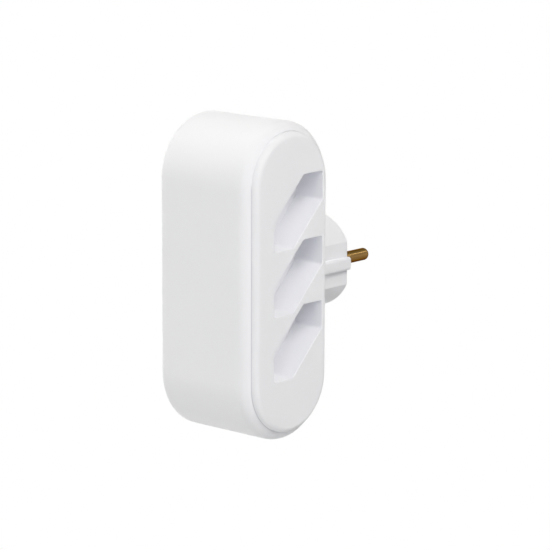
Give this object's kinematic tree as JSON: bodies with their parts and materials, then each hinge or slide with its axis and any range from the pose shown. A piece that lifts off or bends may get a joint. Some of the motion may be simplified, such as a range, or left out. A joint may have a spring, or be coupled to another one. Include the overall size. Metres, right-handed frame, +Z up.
{
  "type": "multi socket adapter",
  "caption": "White plug-in adapter: a round-ended body with slanted six-sided sockets on its side and a round two-pin plug behind.",
  "frame": {"origin": "on the plug's axis, midway between the pins, on the face that they leave", "axes": "+Y along the pins, +X towards the sockets, +Z up"},
  "size_m": [0.0468, 0.0827, 0.1206],
  "materials": {
    "white_shell": "satin moulded white",
    "white_panel": "satin moulded white",
    "white_plug": "satin moulded white",
    "pin_brass": "turned, a little dull",
    "contact_brass": "stamped sheet"
  },
  "bodies": {
    "root": {"outer_shell": "white_shell", "socket_panel": "white_panel", "plug_nose": "white_plug", "plug_pin_right": "pin_brass", "plug_pin_left": "pin_brass", "contact_bar_back": "contact_brass", "contact_bar_front": "contact_brass"}
  },
  "joints": []
}
